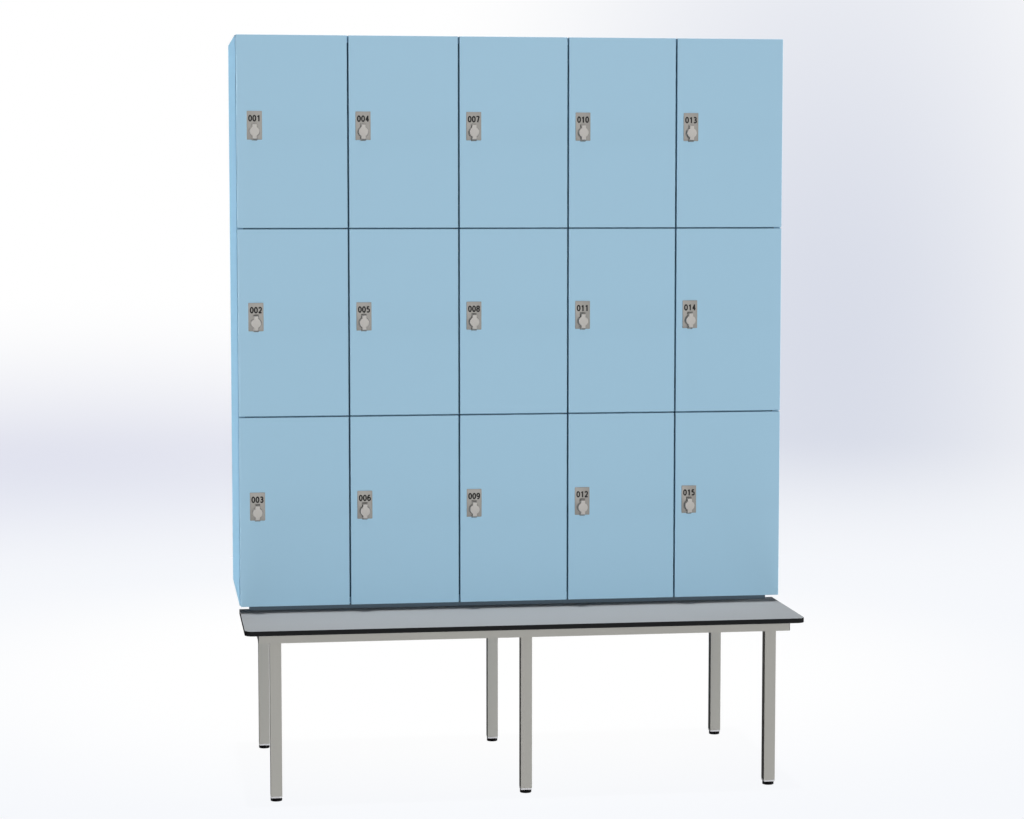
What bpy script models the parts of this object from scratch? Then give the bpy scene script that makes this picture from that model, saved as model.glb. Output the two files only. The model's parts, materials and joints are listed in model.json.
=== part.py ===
# Locker with bench: fifteen personal lockers on a square-tube bench frame.
# Metres, +Z up, front faces -Y. The origin lies on the floor under the middle of the whole piece.

import math

import bmesh
import bpy
from mathutils import Matrix, Vector

# Locker block
locker_width = 1.500
locker_height = 1.540
locker_depth = 0.518
columns = 5
tiers = 3
board = 0.018
back_board = 0.008
board_edge_bevel = 0.0005

# Fits
fit_gap = 0.0003
cut_overrun = 0.002
joined_overlap = 0.001
smooth_angle = math.radians(35)

# Doors
door_thickness = 0.018
door_standoff = 0.004
door_gap_side = 0.0045
door_gap_level = 0.0038
door_edge_bevel = 0.0008

# Door pivots: a steel strip on each compartment's right wall carries one eye on each arm
strip_thickness = 0.003
strip_depth = 0.030
strip_setback = 0.002
arm_height = 0.016
arm_end_distance = 0.085
eye_radius = 0.0046
eye_bore_radius = 0.0028
pivot_pin_radius = 0.0025
notch_clearance = 0.0005
pin_sides = 10

# Locks
lock_from_wall = 0.0315
plate_width = 0.040
plate_height = 0.076
plate_thickness = 0.002
plate_corner = 0.002
plate_above_lock = 0.0165
lock_case_radius = 0.011
lock_case_length = 0.0095
spindle_radius = 0.006
spindle_clearance = 0.0003
knob_height = 0.015
knob_base_radius = 0.015
knob_face_radius = 0.01275
knob_bar_base_width = 0.014
knob_bar_base_length = 0.048
knob_bar_face_width = 0.0108
knob_bar_face_length = 0.039
cam_thickness = 0.003
cam_width = 0.014
cam_bite = 0.008
cam_clearance = 0.001
mortise_wall = 0.006
knob_sides = 20
lock_sides = 12

# Bench
seat_height = 0.465
seat_thickness = 0.013
seat_end_inset = 0.001
seat_projection = 0.293
seat_underlap = 0.078
seat_corner_radius = 0.022
seat_corner_steps = 6
seat_edge_bevel = 0.001
frame_end_inset = 0.038
frame_setback = 0.027
frame_back_inset = 0.036
tube = 0.030
rail_height = 0.024
tube_wall = 0.002
leg_floor_gap = 0.014
foot_collar_height = 0.005
foot_radius = 0.0149
foot_bevel = 0.003
foot_insert_length = 0.022
foot_sides = 24

# Plinth
plinth_height = 0.018
plinth_inset = 0.0275
plinth_setback = 0.050
plinth_thickness = 0.028

# Places worked out from the sizes above
total_depth = seat_projection + locker_depth
seat_front_y = -total_depth / 2
door_front_y = seat_front_y + seat_projection
door_back_y = door_front_y + door_thickness
boards_front_y = door_back_y + door_standoff
locker_back_y = door_front_y + locker_depth
back_panel_front_y = locker_back_y - back_board
half_width = locker_width / 2
inner_half_width = half_width - board
column_pitch = locker_width / columns
locker_bottom_z = seat_height + plinth_height
locker_top_z = locker_bottom_z + locker_height
clear_height = (locker_height - (tiers + 1) * board) / tiers
tier_pitch = clear_height + board
frame_top_z = seat_height - seat_thickness - fit_gap
rail_bottom_z = frame_top_z - rail_height
frame_front_y = seat_front_y + frame_setback
frame_back_y = locker_back_y - frame_back_inset
frame_half_width = half_width - frame_end_inset
seat_half_width = half_width - seat_end_inset
seat_back_y = door_front_y + seat_underlap
pivot_from_front = door_thickness / 2
notch_reach = eye_radius + notch_clearance
pivot_from_partition = fit_gap + strip_thickness / 2
cam_reach = lock_from_wall + cam_bite
cam_front_y = boards_front_y + mortise_wall + cam_clearance
cam_back_y = cam_front_y + cam_thickness

parts = None
cutters = None


def clear_scene():
    for obj in list(bpy.data.objects):
        bpy.data.objects.remove(obj, do_unlink=True)


def new_collection(name):
    collection = bpy.data.collections.new(name)
    bpy.context.scene.collection.children.link(collection)
    return collection


def make_material(name, colour, roughness, metallic=0.0):
    material = bpy.data.materials.new(name)
    material.use_nodes = True
    shader = material.node_tree.nodes["Principled BSDF"]
    shader.inputs["Base Color"].default_value = (*colour, 1.0)
    shader.inputs["Roughness"].default_value = roughness
    shader.inputs["Metallic"].default_value = metallic
    return material


def add_object(name, mesh_builder, material=None, place=(0, 0, 0), collection=None, smooth=False):
    bm = bmesh.new()
    mesh_builder(bm)
    mesh = bpy.data.meshes.new(name)
    bm.to_mesh(mesh)
    bm.free()
    obj = bpy.data.objects.new(name, mesh)
    (collection or parts).objects.link(obj)
    obj.location = place
    if material:
        mesh.materials.append(material)
    if smooth:
        mesh.shade_smooth()
        mesh.set_sharp_from_angle(angle=smooth_angle)
    return obj


def add_block(bm, low, high):
    """A box between two corners."""
    low, high = Vector(low), Vector(high)
    placed = Matrix.LocRotScale((low + high) / 2, None, high - low)
    return bmesh.ops.create_cube(bm, size=1, matrix=placed)["verts"]


def add_bevelled_block(bm, low, high, width):
    add_block(bm, low, high)
    bmesh.ops.bevel(bm, geom=bm.edges[:], offset=width, segments=1, affect="EDGES", profile=0.5)


def turned_along(axis):
    """The rotation that lays a Z cylinder along an axis."""
    return Vector((0, 0, 1)).rotation_difference(Vector(axis)).to_matrix().to_4x4()


def add_rod(bm, start, end, radius, sides, end_radius=None):
    """A cylinder or a cone frustum between two points."""
    start, end = Vector(start), Vector(end)
    placed = Matrix.Translation((start + end) / 2) @ turned_along((end - start).normalized())
    bmesh.ops.create_cone(
        bm,
        cap_ends=True,
        segments=sides,
        radius1=radius,
        radius2=radius if end_radius is None else end_radius,
        depth=(end - start).length,
        matrix=placed,
    )


def add_cutter(name, mesh_builder, place=(0, 0, 0)):
    cutter = add_object(name, mesh_builder, place=place, collection=cutters)
    cutter.hide_render = True
    cutter.display_type = "WIRE"
    return cutter


def combine(obj, other, operation):
    modifier = obj.modifiers.new(f"{operation.lower()} {other.name}", "BOOLEAN")
    modifier.operation = operation
    modifier.solver = "EXACT"
    modifier.object = other


def cut(obj, mesh_builder, place=(0, 0, 0)):
    combine(obj, add_cutter(f"{obj.name}_cut_{len(obj.modifiers)}", mesh_builder, place), "DIFFERENCE")


def join(obj, mesh_builder, place=(0, 0, 0)):
    combine(obj, add_cutter(f"{obj.name}_join_{len(obj.modifiers)}", mesh_builder, place), "UNION")


def shelf_z(level):
    """The middle of a shelf: level 0 is the bottom panel, level tiers the top panel."""
    return locker_bottom_z + board / 2 + level * tier_pitch


def column_line(line):
    """The X of a column's edge: line 0 is the locker's left side."""
    return -half_width + line * column_pitch


def left_wall_x(column):
    """The face of the wall at a compartment's left."""
    return -inner_half_width if column == 0 else column_line(column) + board / 2


def right_wall_x(column):
    """The face of the wall at a compartment's right."""
    return inner_half_width if column == columns - 1 else column_line(column + 1) - board / 2


def door_levels(tier):
    """The lowest and highest Z of the doors in a tier. They end flush with the locker's ends."""
    low = locker_bottom_z if tier == 0 else shelf_z(tier) + door_gap_level / 2
    high = locker_top_z if tier == tiers - 1 else shelf_z(tier + 1) - door_gap_level / 2
    return low, high


def door_middle_z(tier):
    return sum(door_levels(tier)) / 2


def door_number(column, tier):
    """Doors count down each column from the top left."""
    return column * tiers + (tiers - 1 - tier) + 1


def lock_x(column):
    return left_wall_x(column) + lock_from_wall


def pivot_x(column):
    """Every door turns at the same distance from its own right edge."""
    return column_line(column + 1) - board / 2 - pivot_from_partition


def strip_middle_x(column):
    return right_wall_x(column) - pivot_from_partition


def pivot_y():
    return door_front_y + pivot_from_front


def arm_offsets(tier):
    """Where a door's two hinge arms stand, above and below the door's middle."""
    low, high = door_levels(tier)
    reach = (high - low) / 2 - arm_end_distance
    return (-reach, reach)


def arm_levels():
    """The middle of each hinge arm, for all the doors of a column."""
    for tier in range(tiers):
        for offset in arm_offsets(tier):
            yield door_middle_z(tier) + offset


def add_mortises(board_object, column):
    """The slots that the cams of one column turn into, in the wall at its left."""
    wall_x = left_wall_x(column)
    side_reach = math.hypot(cam_reach, cam_width / 2)
    swept_depth = math.sqrt(side_reach**2 - lock_from_wall**2)

    def slots(bm):
        for tier in range(tiers):
            lock_z = door_middle_z(tier)
            add_block(
                bm,
                (
                    wall_x - cam_bite - cam_clearance,
                    cam_front_y - cam_clearance,
                    lock_z - swept_depth - cam_clearance,
                ),
                (
                    wall_x + cut_overrun,
                    cam_back_y + cam_clearance,
                    lock_z + cam_width / 2 + cam_clearance,
                ),
            )

    cut(board_object, slots)


def make_sides(material):
    for name, outer_x, inner_x in (
        ("side_left", -half_width, -inner_half_width),
        ("side_right", half_width, inner_half_width),
    ):
        low = (min(outer_x, inner_x), boards_front_y, locker_bottom_z)
        high = (max(outer_x, inner_x), locker_back_y, locker_top_z)
        side = add_object(
            name, lambda bm: add_bevelled_block(bm, low, high, board_edge_bevel), material
        )
        if name == "side_left":
            add_mortises(side, 0)


def make_panels(material, back_material):
    panel_half = inner_half_width - fit_gap
    for name, level in (("bottom_panel", 0), ("top_panel", tiers)):
        middle_z = shelf_z(level)
        low = (-panel_half, boards_front_y, middle_z - board / 2)
        high = (panel_half, locker_back_y, middle_z + board / 2)
        add_object(name, lambda bm: add_bevelled_block(bm, low, high, board_edge_bevel), material)
    low = (-panel_half, back_panel_front_y, shelf_z(0) + board / 2 + fit_gap)
    high = (panel_half, locker_back_y, shelf_z(tiers) - board / 2 - fit_gap)
    add_object(
        "back_panel", lambda bm: add_bevelled_block(bm, low, high, board_edge_bevel), back_material
    )


def halving_y():
    """Where the shelves' slots, from the front, meet the partitions' slots, from the back."""
    return (boards_front_y + back_panel_front_y) / 2


def make_partitions(material):
    slot_half = board / 2 + fit_gap
    low_z = shelf_z(0) + board / 2 + fit_gap
    high_z = shelf_z(tiers) - board / 2 - fit_gap
    back_y = back_panel_front_y - fit_gap

    def shelf_slots(bm):
        for level in range(1, tiers):
            add_block(
                bm,
                (x - board, halving_y() - fit_gap / 2, shelf_z(level) - slot_half),
                (x + board, back_y + cut_overrun, shelf_z(level) + slot_half),
            )

    for line in range(1, columns):
        x = column_line(line)
        low = (x - board / 2, boards_front_y, low_z)
        high = (x + board / 2, back_y, high_z)
        partition = add_object(
            f"partition_{line}",
            lambda bm: add_bevelled_block(bm, low, high, board_edge_bevel),
            material,
        )
        cut(partition, shelf_slots)
        add_mortises(partition, line)


def make_shelves(material):
    shelf_half = inner_half_width - fit_gap
    back_y = back_panel_front_y - fit_gap
    slot_half = board / 2 + fit_gap
    strip_back_y = boards_front_y + strip_setback + strip_depth

    def partition_slots(bm):
        for line in range(1, columns):
            x = column_line(line)
            add_block(
                bm,
                (x - slot_half, boards_front_y - cut_overrun, middle_z - board),
                (x + slot_half, halving_y() + fit_gap / 2, middle_z + board),
            )

    def strip_notches(bm):
        for column in range(columns):
            wall_x = right_wall_x(column)
            past_wall = cut_overrun if column == columns - 1 else slot_half
            add_block(
                bm,
                (
                    wall_x - strip_thickness - 2 * fit_gap,
                    boards_front_y - cut_overrun,
                    middle_z - board,
                ),
                (wall_x + past_wall, strip_back_y + fit_gap, middle_z + board),
            )

    for level in range(1, tiers):
        middle_z = shelf_z(level)
        low = (-shelf_half, boards_front_y, middle_z - board / 2)
        high = (shelf_half, back_y, middle_z + board / 2)
        shelf = add_object(
            f"shelf_{level}",
            lambda bm: add_bevelled_block(bm, low, high, board_edge_bevel),
            material,
        )
        cut(shelf, partition_slots)
        cut(shelf, strip_notches)


def make_hinge_strips(material):
    """A full-height strip for each column, whose arms reach forward to the door's pivots."""
    low_z = shelf_z(0) + board / 2 + fit_gap
    high_z = shelf_z(tiers) - board / 2 - fit_gap
    front_y = boards_front_y + strip_setback
    half = strip_thickness / 2

    def strip(bm):
        add_block(bm, (x - half, front_y, low_z), (x + half, front_y + strip_depth, high_z))

    def arms(bm):
        for z in arm_levels():
            add_block(
                bm,
                (x - half, pivot_y() - half, z - arm_height / 2),
                (x + half, front_y + joined_overlap, z + arm_height / 2),
            )

    def cranks(bm):
        for z in arm_levels():
            add_block(
                bm,
                (x - half + joined_overlap, pivot_y() - half, z - arm_height / 2),
                (eye_x, pivot_y() + half, z + arm_height / 2),
            )

    def eyes(bm):
        for z in arm_levels():
            add_rod(
                bm,
                (eye_x, pivot_y(), z - arm_height / 2),
                (eye_x, pivot_y(), z + arm_height / 2),
                eye_radius,
                pin_sides,
            )

    def bores(bm):
        for z in arm_levels():
            add_rod(
                bm,
                (eye_x, pivot_y(), z - arm_height / 2 - cut_overrun),
                (eye_x, pivot_y(), z + arm_height / 2 + cut_overrun),
                eye_bore_radius,
                pin_sides,
            )

    for column in range(columns):
        x = strip_middle_x(column)
        eye_x = pivot_x(column)
        hinge_strip = add_object(f"hinge_strip_{column + 1}", strip, material)
        join(hinge_strip, arms)
        if eye_x - x > half:
            join(hinge_strip, cranks)
        join(hinge_strip, eyes)
        cut(hinge_strip, bores)


def make_door(column, tier, material):
    """A laid-on door with its lock plate, lock case and pivot pins. Its origin is on its pivot."""
    low_z, high_z = door_levels(tier)
    middle_z = (low_z + high_z) / 2
    place = (pivot_x(column), pivot_y(), middle_z)
    left = column_line(column) + door_gap_side / 2 - place[0]
    right = column_line(column + 1) - door_gap_side / 2 - place[0]
    front = -pivot_from_front
    back = door_thickness - pivot_from_front
    half_height = (high_z - low_z) / 2
    lock = lock_x(column) - place[0]
    crank = pivot_x(column) - strip_middle_x(column)
    notch_left = -max(notch_reach, crank + strip_thickness / 2 + notch_clearance)
    notch_half = arm_height / 2 + fit_gap

    def slab(bm):
        add_bevelled_block(
            bm, (left, front, -half_height), (right, back, half_height), door_edge_bevel
        )

    def notches(bm):
        for z in arm_offsets(tier):
            add_block(
                bm,
                (notch_left, -notch_reach, z - notch_half),
                (right + cut_overrun, back + cut_overrun, z + notch_half),
            )

    def pins(bm):
        for z in arm_offsets(tier):
            add_rod(
                bm,
                (0, 0, z - notch_half - joined_overlap),
                (0, 0, z + notch_half + joined_overlap),
                pivot_pin_radius,
                pin_sides,
            )

    def plate(bm):
        add_block(
            bm,
            (lock - plate_width / 2, front - plate_thickness, plate_above_lock - plate_height / 2),
            (lock + plate_width / 2, front + joined_overlap, plate_above_lock + plate_height / 2),
        )
        corners = [
            edge
            for edge in bm.edges
            if abs(edge.verts[0].co.y - edge.verts[1].co.y) > plate_thickness / 2
        ]
        bmesh.ops.bevel(
            bm, geom=corners, offset=plate_corner, segments=2, affect="EDGES", profile=0.5
        )

    def lock_case(bm):
        add_rod(
            bm,
            (lock, back - joined_overlap, 0),
            (lock, back + lock_case_length, 0),
            lock_case_radius,
            lock_sides,
        )

    def spindle_bore(bm):
        bore = (spindle_radius + spindle_clearance) / math.cos(math.pi / lock_sides)
        add_rod(
            bm,
            (lock, front - plate_thickness - cut_overrun, 0),
            (lock, back + lock_case_length + cut_overrun, 0),
            bore,
            lock_sides,
        )

    door = add_object(f"door_{door_number(column, tier):02d}", slab, material, place)
    cut(door, notches, place)
    join(door, pins, place)
    join(door, plate, place)
    join(door, lock_case, place)
    cut(door, spindle_bore, place)


def make_lock_knob(column, tier, material):
    """A knob with its spindle and cam, free to turn in the door. Its origin is on its own axis."""
    place = (lock_x(column), door_front_y, door_middle_z(tier))
    base = -plate_thickness - fit_gap
    face = base - knob_height
    cam_front = cam_front_y - door_front_y
    cam_back = cam_back_y - door_front_y

    def round_knob(bm):
        add_rod(bm, (0, base, 0), (0, face, 0), knob_base_radius, knob_sides, knob_face_radius)

    def bar(bm):
        verts = add_block(
            bm,
            (-knob_bar_base_width / 2, face, -knob_bar_base_length / 2),
            (knob_bar_base_width / 2, base, knob_bar_base_length / 2),
        )
        for vert in verts:
            if vert.co.y < (face + base) / 2:
                vert.co.x *= knob_bar_face_width / knob_bar_base_width
                vert.co.z *= knob_bar_face_length / knob_bar_base_length

    def spindle(bm):
        add_rod(
            bm,
            (0, base - joined_overlap, 0),
            (0, cam_front + joined_overlap, 0),
            spindle_radius,
            lock_sides,
        )

    def cam(bm):
        add_block(
            bm, (-cam_width / 2, cam_front, -cam_reach), (cam_width / 2, cam_back, cam_width / 2)
        )

    name = f"lock_knob_{door_number(column, tier):02d}"
    knob = add_object(name, round_knob, material, place, smooth=True)
    join(knob, bar, place)
    join(knob, spindle, place)
    join(knob, cam, place)


def make_plinth(material):
    half = half_width - plinth_inset
    front_y = door_front_y + plinth_setback
    add_object(
        "plinth_front",
        lambda bm: add_block(
            bm,
            (-half, front_y, seat_height + fit_gap),
            (half, front_y + plinth_thickness, locker_bottom_z - fit_gap),
        ),
        material,
    )
    add_object(
        "plinth_rear",
        lambda bm: add_block(
            bm,
            (-half, frame_back_y - plinth_thickness, frame_top_z + fit_gap),
            (half, frame_back_y, locker_bottom_z - fit_gap),
        ),
        material,
    )


def make_seat(material):
    def seat(bm):
        add_block(
            bm,
            (-seat_half_width, seat_front_y, seat_height - seat_thickness),
            (seat_half_width, seat_back_y, seat_height),
        )
        front_corners = [
            edge
            for edge in bm.edges
            if edge.verts[0].co.y == edge.verts[1].co.y == min(v.co.y for v in bm.verts)
            and edge.verts[0].co.x == edge.verts[1].co.x
        ]
        bmesh.ops.bevel(
            bm,
            geom=front_corners,
            offset=seat_corner_radius,
            segments=seat_corner_steps,
            affect="EDGES",
            profile=0.5,
        )
        rims = [edge for edge in bm.edges if edge.verts[0].co.z == edge.verts[1].co.z]
        bmesh.ops.bevel(
            bm, geom=rims, offset=seat_edge_bevel, segments=1, affect="EDGES", profile=0.5
        )

    add_object("seat_board", seat, material)


def make_rails(material):
    """The long rails, open at their ends as cut tube is."""
    half = frame_half_width
    for name, low_y in (("front_rail", frame_front_y), ("rear_rail", frame_back_y - tube)):
        rail = add_object(
            name,
            lambda bm: add_block(
                bm, (-half, low_y, rail_bottom_z), (half, low_y + tube, frame_top_z)
            ),
            material,
        )
        cut(
            rail,
            lambda bm: add_block(
                bm,
                (-half - cut_overrun, low_y + tube_wall, rail_bottom_z + tube_wall),
                (half + cut_overrun, low_y + tube - tube_wall, frame_top_z - tube_wall),
            ),
        )


def leg_front_ys():
    """The front faces of a front leg and of a rear leg: each stands against a long rail."""
    return (frame_front_y + tube + fit_gap, frame_back_y - 2 * tube - fit_gap)


def leg_middle_x(frame):
    """Frame -1, 0 or 1: the outer legs stand inside the end rails."""
    return frame * (frame_half_width - tube - tube / 2)


def make_leg_frame(name, frame, material):
    """Two legs and the short rail that joins them, welded together."""
    x = leg_middle_x(frame)
    rail_x = x + frame * tube
    front_y, rear_y = leg_front_ys()
    rail_low_y = front_y
    rail_high_y = rear_y + tube
    head_reach = tube / 2 + joined_overlap

    def short_rail(bm):
        add_block(
            bm,
            (rail_x - tube / 2, rail_low_y, rail_bottom_z),
            (rail_x + tube / 2, rail_high_y, frame_top_z),
        )

    def legs(bm):
        for leg_y in (front_y, rear_y):
            add_block(
                bm, (x - tube / 2, leg_y, leg_floor_gap), (x + tube / 2, leg_y + tube, frame_top_z)
            )

    def leg_heads(bm):
        for leg_y in (front_y, rear_y):
            add_block(
                bm,
                (min(x, x + frame * head_reach), leg_y, rail_bottom_z),
                (max(x, x + frame * head_reach), leg_y + tube, frame_top_z),
            )

    def leg_bores(bm):
        for leg_y in (front_y, rear_y):
            add_block(
                bm,
                (x - tube / 2 + tube_wall, leg_y + tube_wall, leg_floor_gap - cut_overrun),
                (x + tube / 2 - tube_wall, leg_y + tube - tube_wall, frame_top_z - tube_wall),
            )

    leg_frame = add_object(name, short_rail, material)
    if frame:
        join(leg_frame, leg_heads)
    join(leg_frame, legs)
    cut(leg_frame, leg_bores)


def make_feet(material):
    """A collar and a glide under each leg, with a square insert that fits the tube."""
    insert_half = tube / 2 - tube_wall - fit_gap
    collar_bottom = leg_floor_gap - fit_gap - foot_collar_height

    def glide(bm):
        add_rod(bm, (x, y, foot_bevel), (x, y, collar_bottom + joined_overlap), foot_radius, foot_sides)
        add_rod(bm, (x, y, 0), (x, y, foot_bevel), foot_radius - foot_bevel, foot_sides, foot_radius)
        bmesh.ops.remove_doubles(bm, verts=bm.verts[:], dist=fit_gap / 2)
        inside = [
            face
            for face in bm.faces
            if abs(face.calc_center_median().z - foot_bevel) < fit_gap
        ]
        bmesh.ops.delete(bm, geom=inside, context="FACES_ONLY")

    def collar(bm):
        half = tube / 2
        add_block(
            bm,
            (x - half, y - half, collar_bottom),
            (x + half, y + half, leg_floor_gap - fit_gap),
        )

    def insert(bm):
        add_block(
            bm,
            (x - insert_half, y - insert_half, leg_floor_gap - fit_gap - joined_overlap),
            (x + insert_half, y + insert_half, leg_floor_gap + foot_insert_length),
        )

    for frame, side in ((-1, "left"), (0, "middle"), (1, "right")):
        for leg_y, end in zip(leg_front_ys(), ("front", "rear")):
            x = leg_middle_x(frame)
            y = leg_y + tube / 2
            foot = add_object(f"foot_{end}_{side}", glide, material, smooth=True)
            join(foot, collar)
            join(foot, insert)


def main():
    global parts, cutters
    clear_scene()
    parts = new_collection("locker_with_bench")
    cutters = new_collection("cutters")

    door_laminate = make_material("door laminate", (0.33, 0.51, 0.65), 0.45)
    carcass_laminate = make_material("carcass laminate", (0.35, 0.55, 0.72), 0.5)
    back_laminate = make_material("back panel laminate", (0.60, 0.66, 0.70), 0.6)
    plinth_laminate = make_material("plinth laminate", (0.10, 0.13, 0.17), 0.6)
    seat_laminate = make_material("seat laminate", (0.37, 0.41, 0.46), 0.45)
    frame_paint = make_material("frame paint", (0.35, 0.35, 0.33), 0.4, 0.4)
    hinge_steel = make_material("hinge steel", (0.55, 0.56, 0.58), 0.35, 1.0)
    lock_metal = make_material("lock metal", (0.48, 0.47, 0.45), 0.4, 0.7)
    foot_rubber = make_material("foot rubber", (0.02, 0.02, 0.02), 0.6)

    make_sides(carcass_laminate)
    make_panels(carcass_laminate, back_laminate)
    make_partitions(carcass_laminate)
    make_shelves(carcass_laminate)
    make_hinge_strips(hinge_steel)
    for column in range(columns):
        for tier in range(tiers):
            make_door(column, tier, door_laminate)
            make_lock_knob(column, tier, lock_metal)
    make_plinth(plinth_laminate)
    make_seat(seat_laminate)
    make_rails(frame_paint)
    make_leg_frame("leg_frame_left", -1, frame_paint)
    make_leg_frame("leg_frame_middle", 0, frame_paint)
    make_leg_frame("leg_frame_right", 1, frame_paint)
    make_feet(foot_rubber)


main()
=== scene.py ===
# Fifteen laminate lockers on a tube bench frame: finishes, lock fittings, feet, camera and studio.
# Metres, +Z up, the doors face -Y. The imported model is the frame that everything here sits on.

import json
import math

import bmesh
import bpy
from mathutils import Matrix, Vector

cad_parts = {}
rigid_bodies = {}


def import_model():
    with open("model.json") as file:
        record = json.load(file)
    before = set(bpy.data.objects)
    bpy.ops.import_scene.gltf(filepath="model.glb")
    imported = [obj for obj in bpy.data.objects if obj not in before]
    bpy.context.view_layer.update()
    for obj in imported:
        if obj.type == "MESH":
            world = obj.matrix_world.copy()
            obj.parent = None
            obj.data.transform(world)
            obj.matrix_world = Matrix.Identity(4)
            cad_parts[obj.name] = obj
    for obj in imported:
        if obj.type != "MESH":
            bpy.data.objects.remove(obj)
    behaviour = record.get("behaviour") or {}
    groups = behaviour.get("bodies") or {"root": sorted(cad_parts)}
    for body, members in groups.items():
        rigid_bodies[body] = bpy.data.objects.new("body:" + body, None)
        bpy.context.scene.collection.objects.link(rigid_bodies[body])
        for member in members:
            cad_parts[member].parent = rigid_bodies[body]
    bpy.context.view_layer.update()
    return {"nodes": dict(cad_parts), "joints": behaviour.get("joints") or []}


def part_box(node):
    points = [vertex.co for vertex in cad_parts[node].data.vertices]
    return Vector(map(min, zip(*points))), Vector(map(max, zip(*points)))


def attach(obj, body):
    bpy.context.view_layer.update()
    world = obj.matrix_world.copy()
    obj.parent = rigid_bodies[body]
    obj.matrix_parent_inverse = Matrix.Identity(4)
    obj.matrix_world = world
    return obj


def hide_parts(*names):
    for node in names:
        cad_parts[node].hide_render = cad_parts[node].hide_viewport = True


for oldThing in list(bpy.data.objects):
    bpy.data.objects.remove(oldThing, do_unlink=True)

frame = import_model()
nodes = frame["nodes"]
joints = {joint["name"]: joint for joint in frame["joints"]}
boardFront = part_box("partition_1")[0].y  # the front edges of the carcass's boards
closeBy = 1e-5  # two places count as one below this distance
mergeBelow = 1e-6  # and loose points become one below this distance
straightShare = 0.999  # an edge runs along an axis when this share of its length does
smoothed = {"board": 12, "plate": 30, "turned": 32, "moulded": 40}  # sharper edges stay, in degrees


def nodesNamed(start):
    return sorted(name for name in nodes if name.startswith(start))


def middleOf(nodeName):
    low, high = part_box(nodeName)
    return (low + high) / 2


doorNames = nodesNamed("door_")
print("frame loaded:", len(nodes), "nodes,", len(doorNames), "doors")

# the camera stands where the photograph's edges, solved against the part's own sizes, put it
photoCamera = {
    "location": (-1.00822, -6.98398, 1.59043),
    "pitchDown": 4.7626,
    "turnRight": 8.3087,
    "lens": 89.5226,
    "sensor": 36.0,
}


def makeCamera(options):
    data = bpy.data.cameras.new("camera")
    data.lens = options["lens"]
    data.sensor_width = options["sensor"]
    data.sensor_fit = "HORIZONTAL"
    camera = bpy.data.objects.new("camera", data)
    bpy.context.scene.collection.objects.link(camera)
    camera.location = options["location"]
    pitch = math.radians(90 - options["pitchDown"])
    camera.rotation_euler = (pitch, 0, -math.radians(options["turnRight"]))
    bpy.context.scene.camera = camera


makeCamera(photoCamera)
print("camera placed")


def addPiece(name, bm, materials, body, smoothAngle=None):
    mesh = bpy.data.meshes.new(name)
    bm.to_mesh(mesh)
    bm.free()
    piece = bpy.data.objects.new(name, mesh)
    bpy.context.scene.collection.objects.link(piece)
    for material in materials:
        mesh.materials.append(material)
    if smoothAngle:
        mesh.shade_smooth()
        mesh.set_sharp_from_angle(angle=math.radians(smoothAngle))
    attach(piece, body)
    return piece


def addBlock(bm, low, high):
    low, high = Vector(low), Vector(high)
    place = Matrix.LocRotScale((low + high) / 2, None, high - low)
    return bmesh.ops.create_cube(bm, size=1, matrix=place)["verts"]


def addRound(bm, start, along, radius, length, steps, endRadius=None):
    # a closed cylinder or cone from a point along a direction
    along = Vector(along).normalized()
    turn = Vector((0, 0, 1)).rotation_difference(along)
    place = Matrix.LocRotScale(Vector(start) + along * length / 2, turn, None)
    made = bmesh.ops.create_cone(
        bm,
        cap_ends=True,
        segments=steps,
        radius1=radius,
        radius2=radius if endRadius is None else endRadius,
        depth=length,
        matrix=place,
    )
    return made["verts"]


def edgesAlong(bm, axis, verts=None):
    # the straight edges that run along X, Y or Z (0, 1 or 2)
    found = []
    for edge in bm.edges:
        if verts is None or all(v in verts for v in edge.verts):
            step = edge.verts[1].co - edge.verts[0].co
            if abs(step[axis]) > straightShare * step.length:
                found.append(edge)
    return found


def edgesAt(bm, axis, value, verts=None):
    # the edges that lie in one plane across X, Y or Z
    return [
        edge
        for edge in bm.edges
        if all(abs(v.co[axis] - value) < closeBy for v in edge.verts)
        and (verts is None or all(v in verts for v in edge.verts))
    ]


def roundEdges(bm, edges, width, segments):
    bmesh.ops.bevel(
        bm,
        geom=edges,
        offset=width,
        segments=segments,
        affect="EDGES",
        profile=0.5,
        material=-1,
        clamp_overlap=True,
    )


def pointOutwards(bm):
    bmesh.ops.remove_doubles(bm, verts=bm.verts[:], dist=mergeBelow)
    bmesh.ops.recalc_face_normals(bm, faces=bm.faces[:])


def looseObject(name, bm):
    mesh = bpy.data.meshes.new(name)
    bm.to_mesh(mesh)
    bm.free()
    thing = bpy.data.objects.new(name, mesh)
    bpy.context.scene.collection.objects.link(thing)
    return thing


def finalMesh(thing):
    # an object's mesh with its modifiers applied, as a bmesh
    graph = bpy.context.evaluated_depsgraph_get()
    bm = bmesh.new()
    bm.from_mesh(bpy.data.meshes.new_from_object(thing.evaluated_get(graph)))
    bpy.data.objects.remove(thing, do_unlink=True)
    return bm


def combine(target, other, operation):
    # a Boolean that is applied at once, so that the piece is one closed mesh
    modifier = target.modifiers.new("combine", "BOOLEAN")
    modifier.operation = operation
    modifier.solver = "EXACT"
    modifier.object = other
    bm = finalMesh(target)
    bpy.data.objects.remove(other, do_unlink=True)
    return bm


def spaced(low, high, count):
    return [low + (high - low) * step / (count - 1) for step in range(count)]


def linear(colour):
    # display values from 0 to 255 as the shader's linear ones
    shares = [value / 255 for value in colour]
    return tuple(s / 12.92 if s <= 0.04045 else ((s + 0.055) / 1.055) ** 2.4 for s in shares)


def newNode(tree, kind, **values):
    node = tree.nodes.new(kind)
    for name, value in values.items():
        setattr(node, name, value)
    return node


def feed(tree, socket, value):
    if isinstance(value, bpy.types.NodeSocket):
        tree.links.new(value, socket)
    else:
        socket.default_value = value


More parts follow.
